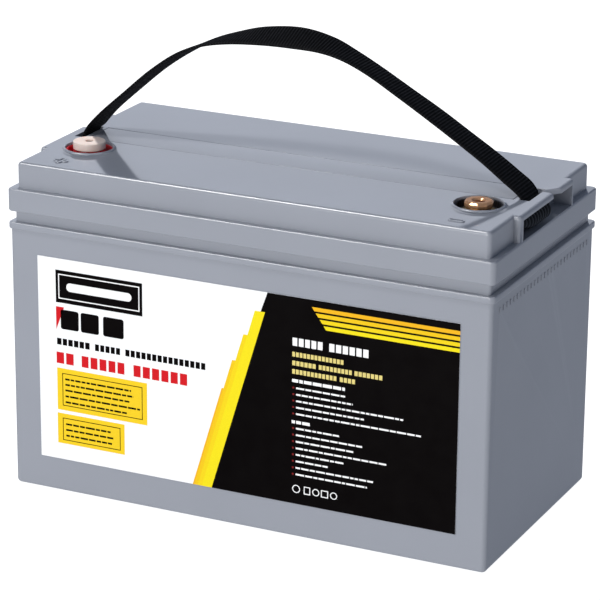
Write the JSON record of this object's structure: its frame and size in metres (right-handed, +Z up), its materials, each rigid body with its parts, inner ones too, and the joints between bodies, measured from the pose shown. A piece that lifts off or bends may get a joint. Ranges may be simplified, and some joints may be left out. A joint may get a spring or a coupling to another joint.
{
  "type": "deep cycle battery",
  "caption": "Sealed lead-acid deep cycle battery: grey moulded case and stepped lid, bolt terminals in coloured cups, webbing carry handle in end pockets, printed front label.",
  "frame": {"origin": "centre of the underside of the case", "axes": "+X along the length towards the negative terminal's end, +Y across the depth towards the unlabelled back, +Z up; the label faces -Y"},
  "size_m": [0.33, 0.172, 0.2997],
  "materials": {
    "grey_abs": "moulded ABS, blue grey, fine satin grain",
    "black_plastic": "moulded black plastic, satin",
    "red_plastic": "moulded red plastic, glossy",
    "white_plastic": "translucent white plastic, satin gloss",
    "copper": "turned copper alloy, bright",
    "webbing": "ribbed black nylon webbing",
    "rubber": "black rubber, matt",
    "lead": "cast lead, dull grey",
    "positive_paste": "brown lead dioxide paste, matt",
    "negative_paste": "grey sponge lead paste, matt",
    "glass_mat": "white glass fibre mat, matt",
    "label_film": "printed film label, satin",
    "epoxy": "dark epoxy resin, glossy"
  },
  "bodies": {
    "case": {"container": "grey_abs", "lid_glue_bead": "epoxy", "lid": "grey_abs", "vent_cover": "grey_abs", "terminal_cup_positive": "red_plastic", "terminal_seal_positive": "rubber", "terminal_post_positive": "lead", "terminal_insert_positive": "copper", "terminal_cup_negative": "black_plastic", "terminal_seal_negative": "rubber", "terminal_post_negative": "lead", "terminal_insert_negative": "copper", "strap_end_left": "webbing", "strap_end_right": "webbing", "handle_toggle_left": "black_plastic", "handle_toggle_right": "black_plastic", "front_label": "label_film", "positive_plates_1": "positive_paste", "negative_plates_1": "negative_paste", "glass_mat_1": "glass_mat", "positive_plates_2": "positive_paste", "negative_plates_2": "negative_paste", "glass_mat_2": "glass_mat", "positive_plates_3": "positive_paste", "negative_plates_3": "negative_paste", "glass_mat_3": "glass_mat", "positive_plates_4": "positive_paste", "negative_plates_4": "negative_paste", "glass_mat_4": "glass_mat", "positive_plates_5": "positive_paste", "negative_plates_5": "negative_paste", "glass_mat_5": "glass_mat", "positive_plates_6": "positive_paste", "negative_plates_6": "negative_paste", "glass_mat_6": "glass_mat", "intercell_weld_1": "lead", "intercell_weld_2": "lead", "intercell_weld_3": "lead", "intercell_weld_4": "lead", "intercell_weld_5": "lead"},
    "handle": {"handle_strap": "webbing"},
    "terminal_cap": {"positive_terminal_cap": "white_plastic"},
    "valve_1": {"valve_cap_1": "rubber"},
    "valve_2": {"valve_cap_2": "rubber"},
    "valve_3": {"valve_cap_3": "rubber"},
    "valve_4": {"valve_cap_4": "rubber"},
    "valve_5": {"valve_cap_5": "rubber"},
    "valve_6": {"valve_cap_6": "rubber"}
  },
  "joints": [
    {"name": "handle_swing", "type": "hinge", "parent": "case", "child": "handle", "pos_m": [0, 0.0005, 0.2195], "axis": [1, 0, 0], "range_deg": [-20, 20]},
    {"name": "terminal_cap_lift", "type": "slide", "parent": "case", "child": "terminal_cap", "axis": [0, 0, 1], "range_m": [0, 0.012]},
    {"name": "valve_1_lift", "type": "slide", "parent": "case", "child": "valve_1", "axis": [0, 0, 1], "range_m": [0, 0.0008], "stiffness_N_per_m": 400},
    {"name": "valve_2_lift", "type": "slide", "parent": "case", "child": "valve_2", "axis": [0, 0, 1], "range_m": [0, 0.0008], "stiffness_N_per_m": 400},
    {"name": "valve_3_lift", "type": "slide", "parent": "case", "child": "valve_3", "axis": [0, 0, 1], "range_m": [0, 0.0008], "stiffness_N_per_m": 400},
    {"name": "valve_4_lift", "type": "slide", "parent": "case", "child": "valve_4", "axis": [0, 0, 1], "range_m": [0, 0.0008], "stiffness_N_per_m": 400},
    {"name": "valve_5_lift", "type": "slide", "parent": "case", "child": "valve_5", "axis": [0, 0, 1], "range_m": [0, 0.0008], "stiffness_N_per_m": 400},
    {"name": "valve_6_lift", "type": "slide", "parent": "case", "child": "valve_6", "axis": [0, 0, 1], "range_m": [0, 0.0008], "stiffness_N_per_m": 400}
  ]
}
